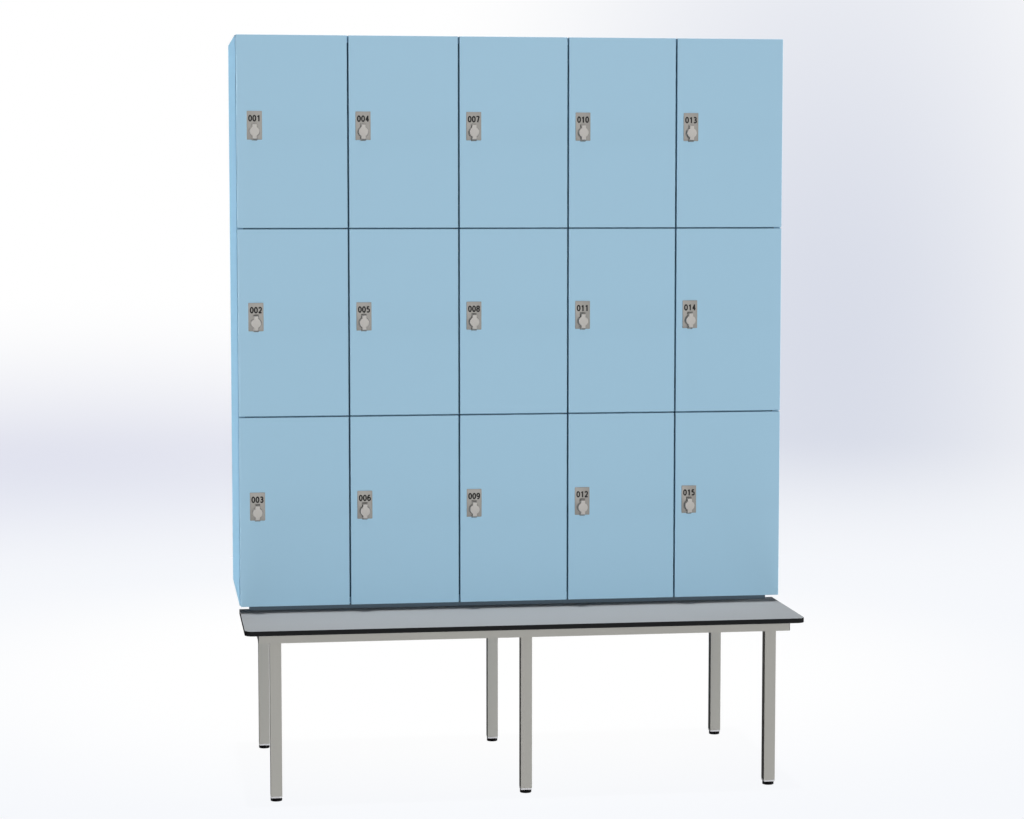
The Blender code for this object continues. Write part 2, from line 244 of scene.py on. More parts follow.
def doMath(tree, operation, *values):
    step = newNode(tree, "ShaderNodeMath", operation=operation)
    for socket, value in zip(step.inputs, values):
        feed(tree, socket, value)
    return step.outputs["Value"]


def blendColours(tree, factor, first, second):
    mix = newNode(tree, "ShaderNodeMix", data_type="RGBA")
    feed(tree, mix.inputs["Factor"], factor)
    for socket, colour in ((mix.inputs["A"], first), (mix.inputs["B"], second)):
        feed(tree, socket, colour if isinstance(colour, bpy.types.NodeSocket) else (*colour, 1))
    return mix.outputs["Result"]


def spreadValue(tree, factor, low, high, fromLow=0.0, fromHigh=1.0, curve="LINEAR"):
    spread = newNode(tree, "ShaderNodeMapRange", interpolation_type=curve)
    spread.inputs["From Min"].default_value = fromLow
    spread.inputs["From Max"].default_value = fromHigh
    spread.inputs["To Min"].default_value = low
    spread.inputs["To Max"].default_value = high
    tree.links.new(factor, spread.inputs["Value"])
    return spread.outputs["Result"]


def noiseOn(tree, coords, scale, detail, stretch=(1, 1, 1)):
    mapping = newNode(tree, "ShaderNodeMapping")
    mapping.inputs["Scale"].default_value = stretch
    tree.links.new(coords, mapping.inputs["Vector"])
    noise = newNode(tree, "ShaderNodeTexNoise")
    noise.inputs["Scale"].default_value = scale
    noise.inputs["Detail"].default_value = detail
    tree.links.new(mapping.outputs["Vector"], noise.inputs["Vector"])
    return noise.outputs["Fac"]


def axisOf(tree, coords, axis):
    parts = newNode(tree, "ShaderNodeSeparateXYZ")
    tree.links.new(coords, parts.inputs["Vector"])
    return parts.outputs[axis]


noiseDetail = {"mottle": 2, "fleck": 4, "relief": 2}
fleckSpan = (0.35, 0.65)  # the part of the fleck noise that runs from no fleck to a full one


def finish(name, look, patch=None):
    # a colour with a broad mottle and fine flecks, an uneven gloss and a fine relief;
    # patch gives a mask and a second colour that covers part of the piece
    material = bpy.data.materials.new(name)
    material.use_nodes = True
    tree = material.node_tree
    shader = tree.nodes["Principled BSDF"]
    shader.inputs["Metallic"].default_value = look["metallic"]
    shader.inputs["Specular IOR Level"].default_value = look["specular"]
    coords = newNode(tree, "ShaderNodeTexCoord").outputs["Object"]
    colour = Vector(linear(look["colour"]))
    mottle, fleck, relief = (
        noiseOn(tree, coords, look[kind + "Scale"], detail, look["stretch"])
        for kind, detail in noiseDetail.items()
    )
    amount = look["mottle"]
    broad = blendColours(tree, mottle, colour * (1 - amount), colour * (1 + amount))
    flecks = spreadValue(tree, fleck, 0, 1, *fleckSpan)
    shade = blendColours(tree, flecks, broad, colour * (1 + look["fleck"]))
    if patch:
        mask, second = patch(tree, coords)
        shade = blendColours(tree, mask, shade, linear(second))
    tree.links.new(shade, shader.inputs["Base Color"])
    middle, spread = look["roughness"], look["glossSpread"]
    gloss = spreadValue(tree, fleck, middle - spread, middle + spread)
    tree.links.new(gloss, shader.inputs["Roughness"])
    bump = newNode(tree, "ShaderNodeBump")
    bump.inputs["Distance"].default_value = look["reliefDepth"]
    tree.links.new(relief, bump.inputs["Height"])
    tree.links.new(bump.outputs["Normal"], shader.inputs["Normal"])
    return material


laminateLook = {
    "colour": (149, 188, 211),
    "metallic": 0.0,
    "specular": 0.25,
    "mottle": 0.010,
    "mottleScale": 9,
    "fleck": 0.012,
    "fleckScale": 900,
    "stretch": (1, 1, 1),
    "roughness": 0.46,
    "glossSpread": 0.05,
    "reliefScale": 1100,
    "reliefDepth": 0.00002,
}
carcassLook = dict(laminateLook, colour=(150, 192, 219), specular=0.0)
backLook = dict(laminateLook, colour=(164, 192, 210), roughness=0.55)
# painted shade: the plinth's laminate darkened for the shade in the recess under the doors
plinthLook = dict(laminateLook, colour=(86, 103, 116), specular=0.1, roughness=0.55)
# painted shade: darker colours on the front edges of shelves and partitions, standing in for the
# shade in the door gaps, and the strip's depth
paintedGapShade = {"shelf": (100, 132, 155), "partition": (76, 100, 119), "depth": 0.0004}
seatLook = dict(
    laminateLook,
    colour=(159, 161, 163),
    specular=0.0,
    fleck=0.03,
    fleckScale=700,
    reliefDepth=0.00003,
)
seatCore = {"colour": (33, 34, 35), "sheet": 0.00015}  # the sheet lies over it, above and below
framePaintLook = {
    "colour": (168, 167, 162),
    "metallic": 0.0,
    "specular": 0.0,
    "mottle": 0.012,
    "mottleScale": 14,
    "fleck": 0.02,
    "fleckScale": 1500,
    "stretch": (1, 1, 1),
    "roughness": 0.6,
    "glossSpread": 0.06,
    "reliefScale": 620,
    "reliefDepth": 0.00004,
}
plateLook = {
    "colour": (133, 131, 127),
    "metallic": 0.15,
    "specular": 0.1,
    "mottle": 0.02,
    "mottleScale": 60,
    "fleck": 0.05,
    "fleckScale": 500,
    "stretch": (1, 1, 14),
    "roughness": 0.42,
    "glossSpread": 0.08,
    "reliefScale": 900,
    "reliefDepth": 0.00001,
}
knobLook = dict(
    plateLook,
    colour=(172, 169, 165),
    metallic=0.1,
    specular=0.1,
    stretch=(1, 1, 1),
    fleck=0.03,
    fleckScale=1400,
    roughness=0.5,
)
# painted shade: the knob's own colour darkened for its walls, body and spindle
knobPaintedShadeWallLook = dict(knobLook, colour=(132, 129, 125))
steelLook = dict(plateLook, colour=(172, 174, 178), metallic=0.8, specular=0.5, roughness=0.34)
# dull steel for the hinge strips; its darker colour is also painted shade for the door gaps it
# shows through
stripLook = dict(steelLook, colour=(98, 104, 110), metallic=0.35, specular=0.1, roughness=0.5)
inkLook = {
    "colour": (26, 25, 24),
    "metallic": 0.0,
    "specular": 0.1,
    "mottle": 0.05,
    "mottleScale": 200,
    "fleck": 0.1,
    "fleckScale": 2500,
    "stretch": (1, 1, 1),
    "roughness": 0.5,
    "glossSpread": 0.05,
    "reliefScale": 2000,
    "reliefDepth": 0.00001,
}
blackPlasticLook = dict(inkLook, colour=(4, 4, 5), specular=0.04, roughness=0.5)
palePlasticLook = dict(inkLook, colour=(200, 200, 203), mottle=0.02, fleck=0.02, specular=0.3)
bufferLook = dict(palePlasticLook, colour=(226, 230, 232), roughness=0.3)


def gapShadeStrip(board):
    # painted shade on a carcass board's front edge: a darker strip that darkens the gaps between
    # the doors
    def cover(tree, coords):
        edge = boardFront + paintedGapShade["depth"]
        return doMath(tree, "LESS_THAN", axisOf(tree, coords, "Y"), edge), paintedGapShade[board]

    return cover


def coreBetweenSheets(tree, coords):
    # compact laminate: the black core shows at every edge, between the two decor sheets
    middle, top = middleOf("seat_board").z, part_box("seat_board")[1].z
    half = top - middle
    away = doMath(tree, "ABSOLUTE", doMath(tree, "SUBTRACT", axisOf(tree, coords, "Z"), middle))
    return doMath(tree, "LESS_THAN", away, half - seatCore["sheet"]), seatCore["colour"]


doorLaminate = finish("doorLaminate", laminateLook)
carcassLaminate = finish("carcassLaminate", carcassLook)
shelfLaminate = finish("shelfLaminate", carcassLook, gapShadeStrip("shelf"))
partitionLaminate = finish("partitionLaminate", carcassLook, gapShadeStrip("partition"))
backLaminate = finish("backLaminate", backLook)
plinthBoard = finish("plinthBoard", plinthLook)
seatLaminate = finish("seatLaminate", seatLook, coreBetweenSheets)
framePaint = finish("framePaint", framePaintLook)
plateMetal = finish("plateMetal", plateLook)
knobFace = finish("knobFace", knobLook)
knobPaintedShadeWall = finish("knobPaintedShadeWall", knobPaintedShadeWallLook)
zincSteel = finish("zincSteel", steelLook)
stripSteel = finish("stripSteel", stripLook)
numberInk = finish("numberInk", inkLook)
blackPlastic = finish("blackPlastic", blackPlasticLook)
palePlastic = finish("palePlastic", palePlasticLook)
bufferPlastic = finish("bufferPlastic", bufferLook)

nodeFinishes = (  # the start of a node's name, and its finish
    ("door_", doorLaminate),
    ("side_", carcassLaminate),
    ("partition_", partitionLaminate),
    ("shelf_", shelfLaminate),
    ("top_", carcassLaminate),
    ("bottom_", carcassLaminate),
    ("back_", backLaminate),
    ("plinth_", plinthBoard),
    ("seat_", seatLaminate),
    ("hinge_", stripSteel),
    ("lock_", knobPaintedShadeWall),
    ("foot_", blackPlastic),
    ("", framePaint),
)
for nodeName, node in nodes.items():
    material = next(known for start, known in nodeFinishes if nodeName.startswith(start))
    for materialSlot in node.material_slots:
        materialSlot.material = material
print("finishes on the packed nodes")

seatBoard = {"frontCorner": 0.022, "cornerSteps": 14, "rim": 0.0004, "rimSteps": 3}


def makeSeat(options):
    low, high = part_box("seat_board")
    bm = bmesh.new()
    addBlock(bm, low, high)
    corners = [edge for edge in edgesAlong(bm, 2) if edge.verts[0].co.y < low.y + closeBy]
    roundEdges(bm, corners, options["frontCorner"], options["cornerSteps"])
    rims = edgesAt(bm, 2, low.z) + edgesAt(bm, 2, high.z)
    roundEdges(bm, rims, options["rim"], options["rimSteps"])
    # smoothed at its corners only, so that the broad faces stay flat
    angle = smoothed["board"]
    piece = addPiece("seatBoard", bm, [seatLaminate], "locker", angle)
    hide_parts("seat_board")


makeSeat(seatBoard)
print("seat board made")

footParts = {
    "glideRadius": 0.0155,
    "glideHeight": 0.0092,
    "lowerRound": 0.0012,
    "roundSteps": 5,
    "turnSteps": 48,
    "collarHeight": 0.0045,
    "collarCorner": 0.0012,
    "cornerSteps": 3,
    "collarRim": 0.0004,
    "rimSteps": 2,
    "insertWall": 0.0023,
    "insertHeight": 0.020,
}


def makeGlide(nodeName, options):
    middle, bottom = middleOf(nodeName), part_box(nodeName)[0].z
    straight = options["glideRadius"] - options["lowerRound"]
    outline = [(0, 0)]  # half a section, which is spun round the leg's middle
    for step in range(options["roundSteps"] + 1):
        turn = math.pi / 2 * step / options["roundSteps"]
        reach = straight + options["lowerRound"] * math.sin(turn)
        outline.append((reach, options["lowerRound"] * (1 - math.cos(turn))))
    outline += [(options["glideRadius"], options["glideHeight"]), (0, options["glideHeight"])]
    bm = bmesh.new()
    verts = [bm.verts.new((middle.x + radius, middle.y, bottom + z)) for radius, z in outline]
    edges = [bm.edges.new(pair) for pair in zip(verts, verts[1:])]
    bmesh.ops.spin(
        bm,
        geom=verts + edges,
        cent=middle,
        axis=(0, 0, 1),
        angle=2 * math.pi,
        steps=options["turnSteps"],
        use_merge=True,
    )
    pointOutwards(bm)
    name = nodeName.replace("foot_", "footGlide_")
    glide = addPiece(name, bm, [blackPlastic], "locker", smoothed["moulded"])
    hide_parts(nodeName)


def makeCollar(nodeName, options):
    # the pale collar under the tube's end, and its plug inside the tube
    low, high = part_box(nodeName)
    middle = Vector((*middleOf(nodeName).xy, 0))
    half = (high.x - low.x) / 2
    bottom = low.z + options["glideHeight"]
    top = bottom + options["collarHeight"]
    bm = bmesh.new()
    addBlock(bm, middle + Vector((-half, -half, bottom)), middle + Vector((half, half, top)))
    roundEdges(bm, edgesAlong(bm, 2), options["collarCorner"], options["cornerSteps"])
    rims = edgesAt(bm, 2, bottom) + edgesAt(bm, 2, top)
    roundEdges(bm, rims, options["collarRim"], options["rimSteps"])
    inner = half - options["insertWall"]
    plugBottom, plugTop = top - options["collarCorner"], top + options["insertHeight"]
    addBlock(
        bm,
        middle + Vector((-inner, -inner, plugBottom)),
        middle + Vector((inner, inner, plugTop)),
    )
    name = nodeName.replace("foot_", "footCollar_")
    addPiece(name, bm, [palePlastic], "locker", smoothed["moulded"])


for nodeName in nodesNamed("foot_"):
    makeGlide(nodeName, footParts)
    makeCollar(nodeName, footParts)
print("feet made")

railCap = {
    "flange": 0.0012,
    "margin": 0.0004,  # from the rail's outside to the flange's edge
    "plugMargin": 0.0021,  # and to the plug's
    "plugDepth": 0.009,
    "round": 0.0004,
    "roundSteps": 2,
}


def makeRailCaps(nodeName, options):
    # a plug in each open end of a long rail
    low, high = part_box(nodeName)
    bm = bmesh.new()
    for end, side in ((low.x, -1), (high.x, 1)):
        outer, inner = end + side * options["flange"], end - side * options["plugDepth"]
        for margin, first, last in (
            (options["margin"], end, outer),
            (options["plugMargin"], inner, end + side * options["flange"] / 2),
        ):
            edge = Vector((0, margin, margin))
            start = Vector((min(first, last), low.y, low.z)) + edge
            addBlock(bm, start, Vector((max(first, last), high.y, high.z)) - edge)
        roundEdges(bm, edgesAt(bm, 0, outer), options["round"], options["roundSteps"])
    name = "railCaps" + nodeName.split("_")[0].capitalize()
    addPiece(name, bm, [blackPlastic], "locker", smoothed["moulded"])


longRails = ("front_rail", "rear_rail")
for nodeName in longRails:
    makeRailCaps(nodeName, railCap)
print("rail caps made")

lockPlate = {
    "width": 0.0410,
    "height": 0.0764,
    "front": 0.0022,  # how far its face stands off the door
    "aboveLock": 0.0165,
    "corner": 0.0016,
    "cornerSteps": 4,
    "rim": 0.0005,
    "rimSteps": 3,
    "holeRadius": 0.0072,
    "holeSteps": 40,
}


def lockPlace(doorName):
    # where the lock's axis meets the door's face
    return Vector(joints[doorName.replace("door_", "lock_knob_") + "_turn"]["pos_m"])


def makeLockPlate(doorName, options):
    place = lockPlace(doorName)
    half = Vector((options["width"] / 2, 0, options["height"] / 2))
    middle = place + Vector((0, 0, options["aboveLock"]))
    forward = Vector((0, -options["front"], 0))
    bm = bmesh.new()
    addBlock(bm, middle - half + forward, middle + half)
    roundEdges(bm, edgesAlong(bm, 1), options["corner"], options["cornerSteps"])
    roundEdges(bm, edgesAt(bm, 1, (middle + forward).y), options["rim"], options["rimSteps"])
    drill = bmesh.new()
    start, length = place + 2 * forward, 4 * options["front"]
    addRound(drill, start, (0, 1, 0), options["holeRadius"], length, options["holeSteps"])
    bm = combine(looseObject("plate", bm), looseObject("drill", drill), "DIFFERENCE")
    name = doorName.replace("door_", "lockPlate_")
    addPiece(name, bm, [plateMetal], doorName, smoothed["plate"])


plateNumber = {
    "width": 0.0068,  # of a figure, between the middles of its strokes
    "height": 0.0142,
    "stroke": 0.0038,
    "pitch": 0.0112,
    "belowTop": 0.0194,
    "flatness": 0.06,  # the strokes' height against their width
    "curveSteps": 4,
    "strokeSteps": 2,
}
figureStrokes = {  # the middles of a figure's strokes, in shares of its width and height
    "0": (
        ((0.5, 1), (0.92, 0.8), (1, 0.5), (0.92, 0.2))
        + ((0.5, 0), (0.08, 0.2), (0, 0.5), (0.08, 0.8)),
    ),
    "1": (((0.12, 0.76), (0.62, 0.98)), ((0.62, 1.08), (0.62, -0.08))),
    "2": (
        ((0.03, 0.78), (0.18, 0.94), (0.5, 1), (0.85, 0.92), (0.95, 0.72), (0.8, 0.48), (0, 0)),
        ((-0.1, 0), (1.1, 0)),
    ),
    "3": (
        ((0.05, 0.9), (0.4, 1), (0.83, 0.93), (0.92, 0.75), (0.75, 0.58), (0.3, 0.53)),
        ((0.3, 0.53), (0.85, 0.46), (1, 0.27), (0.85, 0.07), (0.4, 0), (0, 0.1)),
    ),
    "4": (((0.72, -0.08), (0.72, 1.08)), ((0.72, 1), (0.02, 0.28)), ((-0.1, 0.28), (1.15, 0.28))),
    "5": (
        ((1, 1), (0.08, 1)),
        ((0.2, 1), (0.14, 0.54)),
        ((0.14, 0.56), (0.5, 0.62), (0.88, 0.53), (1, 0.3), (0.85, 0.07), (0.45, 0), (0.03, 0.08)),
    ),
    "6": (
        ((0.88, 0.92), (0.55, 1), (0.16, 0.8), (0.02, 0.38), (0.14, 0.1), (0.5, 0), (0.88, 0.1))
        + ((1, 0.31), (0.88, 0.52), (0.5, 0.6), (0.1, 0.44)),
    ),
    "7": (((-0.1, 1), (1.08, 1)), ((1, 1), (0.35, -0.08))),
    "8": (
        ((0.5, 1), (0.85, 0.94), (0.94, 0.77), (0.8, 0.6))
        + ((0.5, 0.54), (0.2, 0.6), (0.06, 0.77), (0.15, 0.94)),
        ((0.5, 0.54), (0.87, 0.45), (1, 0.27), (0.87, 0.08))
        + ((0.5, 0), (0.13, 0.08), (0, 0.27), (0.13, 0.45)),
    ),
}
figureStrokes["9"] = [[(1 - x, 1 - z) for x, z in stroke] for stroke in figureStrokes["6"]]
closedFigures = "08"


def addFigure(curve, figure, left, options):
    for stroke in figureStrokes[figure]:
        curved = len(stroke) > 2
        spline = curve.splines.new("BEZIER" if curved else "POLY")
        spline.use_cyclic_u = figure in closedFigures
        points = spline.bezier_points if curved else spline.points
        points.add(len(stroke) - 1)
        for point, (x, z) in zip(points, stroke):
            place = (left + x * options["width"], 0, (z - 0.5) * options["height"])
            point.co = place if curved else (*place, 1)
            if curved:
                point.handle_left_type = point.handle_right_type = "AUTO"


def makeNumber(doorName, options):
    curve = bpy.data.curves.new("number", "CURVE")
    curve.dimensions = "3D"
    curve.resolution_u = options["curveSteps"]
    curve.bevel_depth = options["stroke"] / 2
    curve.bevel_resolution = options["strokeSteps"]
    curve.use_fill_caps = True
    figures = "0" + doorName.replace("door_", "")
    for index, figure in enumerate(figures):
        middle = (index - (len(figures) - 1) / 2) * options["pitch"]
        addFigure(curve, figure, middle - options["width"] / 2, options)
    number = bpy.data.objects.new("number", curve)
    bpy.context.scene.collection.objects.link(number)
    bm = finalMesh(number)
    above = lockPlate["aboveLock"] + lockPlate["height"] / 2 - options["belowTop"]
    place = lockPlace(doorName) + Vector((0, -lockPlate["front"], above))
    bmesh.ops.scale(bm, vec=(1, options["flatness"], 1), verts=bm.verts[:])
    bmesh.ops.translate(bm, vec=place, verts=bm.verts[:])
    pointOutwards(bm)
    name = doorName.replace("door_", "lockNumber_")
    addPiece(name, bm, [numberInk], doorName, smoothed["moulded"])


for doorName in doorNames:
    makeLockPlate(doorName, lockPlate)
    makeNumber(doorName, plateNumber)
print("lock plates and numbers made")

lockKnob = {
    "standoff": 0.0024,
    "height": 0.0149,
    "baseRadius": 0.0149,
    "faceRadius": 0.0126,
    "turnSteps": 64,
    "barBase": (0.0148, 0.0476),
    "barFace": (0.0108, 0.0378),
    "barCorner": 0.0012,
    "cornerSteps": 4,
    "edgeRound": 0.0005,
    "edgeSteps": 3,
    "paintedShadeBehindFace": 0.001,  # the walls get painted shade from this far behind the face
    "paintedShadeFacing": -0.5,  # and where the surface turns away from the front
}
lockCam = {
    "spindleRadius": 0.0058,
    "turnSteps": 32,
    "width": 0.0136,
    "thickness": 0.0028,
    "front": 0.0291,  # from the door's face to the cam
    "reach": 0.0392,
    "washerRadius": 0.0062,
    "washerHeight": 0.0008,
    "boltAcross": 0.0100,
    "boltHeight": 0.0028,
    "endShare": 0.9,  # the ends' rounding as a share of half the width
    "endSteps": 6,
    "edgeRound": 0.0003,
    "edgeSteps": 2,
}
lockNut = {
    "behindFace": 0.018,  # the door's thickness
    "across": 0.026,
    "bore": 0.0111,
    "boreSteps": 40,
    "height": 0.0028,
    "edgeRound": 0.0004,
    "edgeSteps": 2,
}
hexagon = 6


def makeKnob(doorName, options, cam):
    place = lockPlace(doorName)
    base = place + Vector((0, -options["standoff"], 0))
    face = base + Vector((0, -options["height"], 0))
    bm = bmesh.new()
    radii = options["baseRadius"], options["faceRadius"]
    addRound(bm, base, (0, -1, 0), radii[0], options["height"], options["turnSteps"], radii[1])
    knob = looseObject("knob", bm)
    bm = bmesh.new()
    halfBase, halfFace = (
        Vector((options[name][0] / 2, 0, options[name][1] / 2)) for name in ("barBase", "barFace")
    )
    bar = addBlock(bm, face - halfBase, base + halfBase)
    shrink = Matrix.Diagonal((halfFace.x / halfBase.x, 1, halfFace.z / halfBase.z, 1))
    faceVerts = [v for v in bar if abs(v.co.y - face.y) < closeBy]
    bmesh.ops.transform(bm, matrix=shrink, verts=faceVerts, space=Matrix.Translation(-face))
    slanted = [edge for edge in bm.edges if abs(edge.verts[0].co.y - edge.verts[1].co.y) > closeBy]
    roundEdges(bm, slanted, options["barCorner"], options["cornerSteps"])
    bm = combine(knob, looseObject("bar", bm), "UNION")
    bmesh.ops.remove_doubles(bm, verts=bm.verts[:], dist=closeBy)
    front = [part for part in bm.faces if part.calc_center_median().y < face.y + closeBy]
    bmesh.ops.dissolve_faces(bm, faces=front, use_verts=True)
    roundEdges(bm, edgesAt(bm, 1, face.y), options["edgeRound"], options["edgeSteps"])
    bm.normal_update()
    for part in bm.faces:  # the face in the knob's own colour, and the walls round it darker as painted shade
        forward = part.normal.y < options["paintedShadeFacing"]
        bright = forward and part.calc_center_median().y < face.y + options["paintedShadeBehindFace"]
        part.material_index = 0 if bright else 1
    start = base + Vector((0, -options["standoff"], 0))
    length = cam["front"] + 2 * options["standoff"]
    spindle = addRound(bm, start, (0, 1, 0), cam["spindleRadius"], length, cam["turnSteps"])
    for part in {part for v in spindle for part in v.link_faces}:
        part.material_index = 1
    nodeName = doorName.replace("door_", "lock_knob_")
    name = doorName.replace("door_", "lockKnob_")
    piece = addPiece(name, bm, [knobFace, knobPaintedShadeWall], nodeName, smoothed["turned"])
    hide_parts(nodeName)


def makeCam(doorName, options):
    place = lockPlace(doorName)
    level = place.y + options["front"]
    half = options["width"] / 2
    low, high = (-half, options["front"], -options["reach"]), (half, options["front"], half)
    bm = bmesh.new()
    addBlock(bm, place + Vector(low), place + Vector(high) + Vector((0, options["thickness"], 0)))
    roundEdges(bm, edgesAlong(bm, 1), options["endShare"] * half, options["endSteps"])
    rims = edgesAt(bm, 1, level) + edgesAt(bm, 1, level + options["thickness"])
    roundEdges(bm, rims, options["edgeRound"], options["edgeSteps"])
    level += options["thickness"]
    for radius, steps, height in (
        (options["washerRadius"], options["turnSteps"], options["washerHeight"]),
        (options["boltAcross"] / math.sqrt(3), hexagon, options["boltHeight"]),
    ):
        ring = addRound(bm, (place.x, level, place.z), (0, 1, 0), radius, height, steps)
        level += height
        rims = edgesAt(bm, 1, level, set(ring))
        roundEdges(bm, rims, options["edgeRound"], options["edgeSteps"])
    nodeName = doorName.replace("door_", "lock_knob_")
    name = doorName.replace("door_", "lockCam_")
    addPiece(name, bm, [zincSteel], nodeName, smoothed["turned"])


def makeLockNut(doorName, options):
    # the nut that clamps the lock's case to the back of the door
    place = lockPlace(doorName)
    backY = place.y + options["behindFace"]
    bm = bmesh.new()
    radius = options["across"] / math.sqrt(3)
    addRound(bm, (place.x, backY, place.z), (0, 1, 0), radius, options["height"], hexagon)
    rims = edgesAt(bm, 1, backY + options["height"])
    roundEdges(bm, rims, options["edgeRound"], options["edgeSteps"])
    drill = bmesh.new()
    start = (place.x, backY - options["height"], place.z)
    length = 3 * options["height"]
    addRound(drill, start, (0, 1, 0), options["bore"], length, options["boreSteps"])
    bm = combine(looseObject("nut", bm), looseObject("drill", drill), "DIFFERENCE")
    name = doorName.replace("door_", "lockNut_")
    addPiece(name, bm, [zincSteel], doorName, smoothed["turned"])


for doorName in doorNames:
    makeKnob(doorName, lockKnob, lockCam)
    makeCam(doorName, lockCam)
    makeLockNut(doorName, lockNut)
print("lock knobs, cams and nuts made")

screwHead = {
    "radius": 0.0034,
    "height": 0.0012,
    "steps": 20,
    "topShare": 0.62,  # the top's radius
    "rimShare": 0.3,  # the rim round the socket, against the radius
    "socketShare": 0.4,  # the socket's depth, against the height
}
stripScrews = {
    "strip": 0.003,  # the strip's own thickness
    "behindFront": 0.017,
    "fromEnd": 0.045,
    "count": 10,
}
backScrews = {"fromEnd": 0.058, "count": 6, "height": 0.0006}
seatScrews = {"fromEnd": 0.110, "count": 4, "height": 0.0010}


def addScrewHead(bm, place, along, options):
    # a low head with a socket sunk in its top
    radius, height = options["radius"], options["height"]
    topRadius = options["topShare"] * radius
    head = addRound(bm, place, along, radius, height, options["steps"], topRadius)
    faces = {face for v in head for face in v.link_faces}
    top = max(faces, key=lambda face: face.calc_center_median().dot(Vector(along)))
    bmesh.ops.inset_region(bm, faces=[top], thickness=options["rimShare"] * radius)
    sink = -options["socketShare"] * height * Vector(along)
    bmesh.ops.translate(bm, vec=sink, verts=top.verts)


def addScrewPiece(name, places, along, options):
    bm = bmesh.new()
    for place in places:
        addScrewHead(bm, place, along, options)
    addPiece(name, bm, [zincSteel], "locker", smoothed["plate"])


def makeStripScrews(nodeName, options):
    low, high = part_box(nodeName)
    x = high.x - options["strip"]
    y = boardFront + options["behindFront"]
    levels = spaced(low.z + options["fromEnd"], high.z - options["fromEnd"], options["count"])
    name = nodeName.replace("hinge_strip_", "stripScrews_")
    addScrewPiece(name, [(x, y, z) for z in levels], (-1, 0, 0), screwHead)


def makeBackScrews(options):
    # into the rear edges of the partitions and shelves
    low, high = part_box("back_panel")
    levels = spaced(low.z + options["fromEnd"], high.z - options["fromEnd"], options["count"])
    columns = len(nodesNamed("hinge_strip_"))
    half = (high.x - low.x) / columns / 2
    lines = spaced(low.x + half, high.x - half, columns)
    places = []
    for nodeName in nodesNamed("partition_"):
        places += [(middleOf(nodeName).x, high.y, z) for z in levels]
    for nodeName in nodesNamed("shelf_"):
        places += [(x, high.y, middleOf(nodeName).z) for x in lines]
    look = dict(screwHead, height=options["height"])
    addScrewPiece("backScrews", places, (0, 1, 0), look)


def makeSeatScrews(nodeName, options):
    # up through a long rail, from below
    low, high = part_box(nodeName)
    lines = spaced(low.x + options["fromEnd"], high.x - options["fromEnd"], options["count"])
    places = [(x, (low.y + high.y) / 2, low.z) for x in lines]
    look = dict(screwHead, height=options["height"])
    name = "railScrews" + nodeName.split("_")[0].capitalize()
    addScrewPiece(name, places, (0, 0, -1), look)


for nodeName in nodesNamed("hinge_strip_"):
    makeStripScrews(nodeName, stripScrews)
makeBackScrews(backScrews)
for nodeName in longRails:
    makeSeatScrews(nodeName, seatScrews)
print("screws made")

strikePlate = {
    "thickness": 0.0008,
    "front": 0.0010,  # behind the boards' front edges
    "width": 0.0190,
    "above": 0.0230,  # from the lock's axis to the plate's ends
    "below": 0.0410,
    "corner": 0.0030,
    "cornerSteps": 5,
    "slotFront": 0.0055,
    "slotWidth": 0.0060,
    "slotAbove": 0.0085,
    "slotBelow": 0.0264,
    "cutBeyond": 0.001,
    "screwRadius": 0.0025,
    "screwHeight": 0.0005,
}


def wallBesideLock(x):
    # the board at a lock's left, which its cam turns into
    walls = [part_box(name) for name in nodesNamed("partition_") + ["side_left"]]
    return max((box for box in walls if box[1].x < x), key=lambda box: box[1].x)


def makeStrikePlate(doorName, options):
    # a slotted plate round the mortise that the cam turns into
    place = lockPlace(doorName)
    boardLow, boardHigh = wallBesideLock(place.x)
    wall, front = boardHigh.x, boardLow.y + options["front"]
    back, outer = front + options["width"], wall + options["thickness"]
    bottom, top = place.z - options["below"], place.z + options["above"]
    bm = bmesh.new()
    addBlock(bm, (wall, front, bottom), (outer, back, top))
    roundEdges(bm, edgesAlong(bm, 0), options["corner"], options["cornerSteps"])
    slot = bmesh.new()
    beyond, slotFront = options["cutBeyond"], boardLow.y + options["slotFront"]
    slotBottom, slotTop = place.z - options["slotBelow"], place.z + options["slotAbove"]
    slotLow = (wall - beyond, slotFront, slotBottom)
    addBlock(slot, slotLow, (wall + 2 * beyond, slotFront + options["slotWidth"], slotTop))
    bm = combine(looseObject("strike", bm), looseObject("slot", slot), "DIFFERENCE")
    look = dict(screwHead, radius=options["screwRadius"], height=options["screwHeight"])
    for level in ((bottom + slotBottom) / 2, (top + slotTop) / 2):
        addScrewHead(bm, (outer, (front + back) / 2, level), (1, 0, 0), look)
    name = doorName.replace("door_", "strikePlate_")
    addPiece(name, bm, [zincSteel], "locker", smoothed["plate"])


doorBuffer = {
    "radius": 0.0032,
    "height": 0.0035,
    "steps": 28,
    "round": 0.0009,
    "roundSteps": 3,
    "doorGap": 0.0045,
    "fromLine": 0.0056,  # from the middle of the gap between two doors
    "fromEnd": 0.060,
}


def makeBuffers(doorName, options):
    # two soft studs that the closed door rests on, on the board beside its lock
    low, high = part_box(doorName)
    bm = bmesh.new()
    x = low.x - options["doorGap"] / 2 + options["fromLine"]
    for z in (low.z + options["fromEnd"], high.z - options["fromEnd"]):
        place = (x, boardFront, z)
        addRound(bm, place, (0, -1, 0), options["radius"], options["height"], options["steps"])
    rims = edgesAt(bm, 1, boardFront - options["height"])
    roundEdges(bm, rims, options["round"], options["roundSteps"])
    name = doorName.replace("door_", "doorBuffer_")
    addPiece(name, bm, [bufferPlastic], "locker", smoothed["moulded"])


for doorName in doorNames:
    makeStrikePlate(doorName, strikePlate)
    makeBuffers(doorName, doorBuffer)
print("strike plates and door buffers made")

